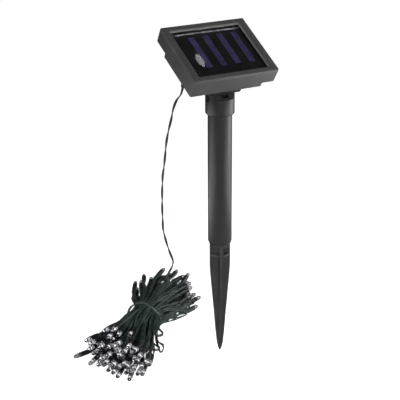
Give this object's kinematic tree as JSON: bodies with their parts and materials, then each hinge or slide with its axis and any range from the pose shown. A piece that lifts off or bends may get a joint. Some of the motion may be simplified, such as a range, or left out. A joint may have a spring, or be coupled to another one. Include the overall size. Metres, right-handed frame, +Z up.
{
  "type": "solar string lights",
  "caption": "String of small outdoor lights tied in a hank, fed by a tilting solar panel head on a ground stake.",
  "frame": {"origin": "tip of the ground spike", "axes": "+Z up along the stake; -Y is the side the panel is seen from, with the panel head turned 31 degrees about +Z and tilted 31 degrees"},
  "size_m": [0.2131, 0.1861, 0.3529],
  "materials": {
    "spike_plastic": "satin",
    "stake_plastic": "satin",
    "steel": "satin",
    "housing": "fine grain",
    "panel_glass": "clear",
    "solar_cell": "gloss",
    "ribbon_metal": "satin",
    "board_black": "satin",
    "rubber": "matt",
    "cell_wrap": "gloss",
    "circuit_green": "gloss",
    "holder_plastic": "satin",
    "bracket_plastic": "matt",
    "cable_green": "satin",
    "lens_clear": "clear"
  },
  "bodies": {
    "stake": {"ground_spike": "spike_plastic", "stake_tube": "stake_plastic"},
    "swivel": {"swivel_collar": "stake_plastic", "pivot_screw": "steel", "pivot_nut": "steel", "lead_wire": "cable_green", "hank_wire": "cable_green", "hank_tie": "cable_green", "led_holder_1": "holder_plastic", "led_holder_2": "holder_plastic", "led_holder_3": "holder_plastic", "led_holder_4": "holder_plastic", "led_holder_5": "holder_plastic", "led_holder_6": "holder_plastic", "led_holder_7": "holder_plastic", "led_holder_8": "holder_plastic", "led_lens_1": "lens_clear", "led_lens_2": "lens_clear", "led_lens_3": "lens_clear", "led_lens_4": "lens_clear", "led_lens_5": "lens_clear", "led_lens_6": "lens_clear", "led_lens_7": "lens_clear", "led_lens_8": "lens_clear"},
    "head": {"bezel_frame": "housing", "solar_glass": "panel_glass", "cell_strip_1": "solar_cell", "cell_strip_2": "solar_cell", "cell_strip_3": "solar_cell", "cell_strip_4": "solar_cell", "cell_ribbon": "ribbon_metal", "cell_board": "board_black", "panel_gasket": "rubber", "rear_cover": "housing", "cover_screw_1": "steel", "cover_screw_2": "steel", "cover_screw_3": "steel", "cover_screw_4": "steel", "battery_door": "housing", "door_screw": "steel", "battery_cell": "cell_wrap", "contact_spring": "steel", "contact_plate": "ribbon_metal", "circuit_board": "circuit_green", "board_screw_1": "steel", "board_screw_2": "steel", "controller_chip": "board_black", "boost_inductor": "holder_plastic", "switch_body": "steel", "tact_switch": "board_black", "tilt_bracket": "bracket_plastic", "bracket_screw_1": "steel", "bracket_screw_2": "steel", "cable_gland": "rubber"},
    "slider": {"power_slider": "bracket_plastic"},
    "button": {"mode_button": "rubber"}
  },
  "joints": [
    {"name": "swivel_turn", "type": "hinge", "parent": "stake", "child": "swivel", "pos_m": [0, 0, 0.27], "axis": [0, 0, 1], "continuous": true},
    {"name": "head_tilt", "type": "hinge", "parent": "swivel", "child": "head", "pos_m": [0, 0, 0.284], "axis": [0.8572, 0.515, 0], "range_deg": [-31, 24], "deforming": ["lead_wire"]},
    {"name": "power_slide", "type": "slide", "parent": "head", "child": "slider", "axis": [0.8572, 0.515, 0], "range_m": [0, 0.003]},
    {"name": "mode_press", "type": "slide", "parent": "head", "child": "button", "axis": [0.2653, -0.4415, 0.8572], "range_m": [0, 0.001], "stiffness_N_per_m": 200}
  ]
}
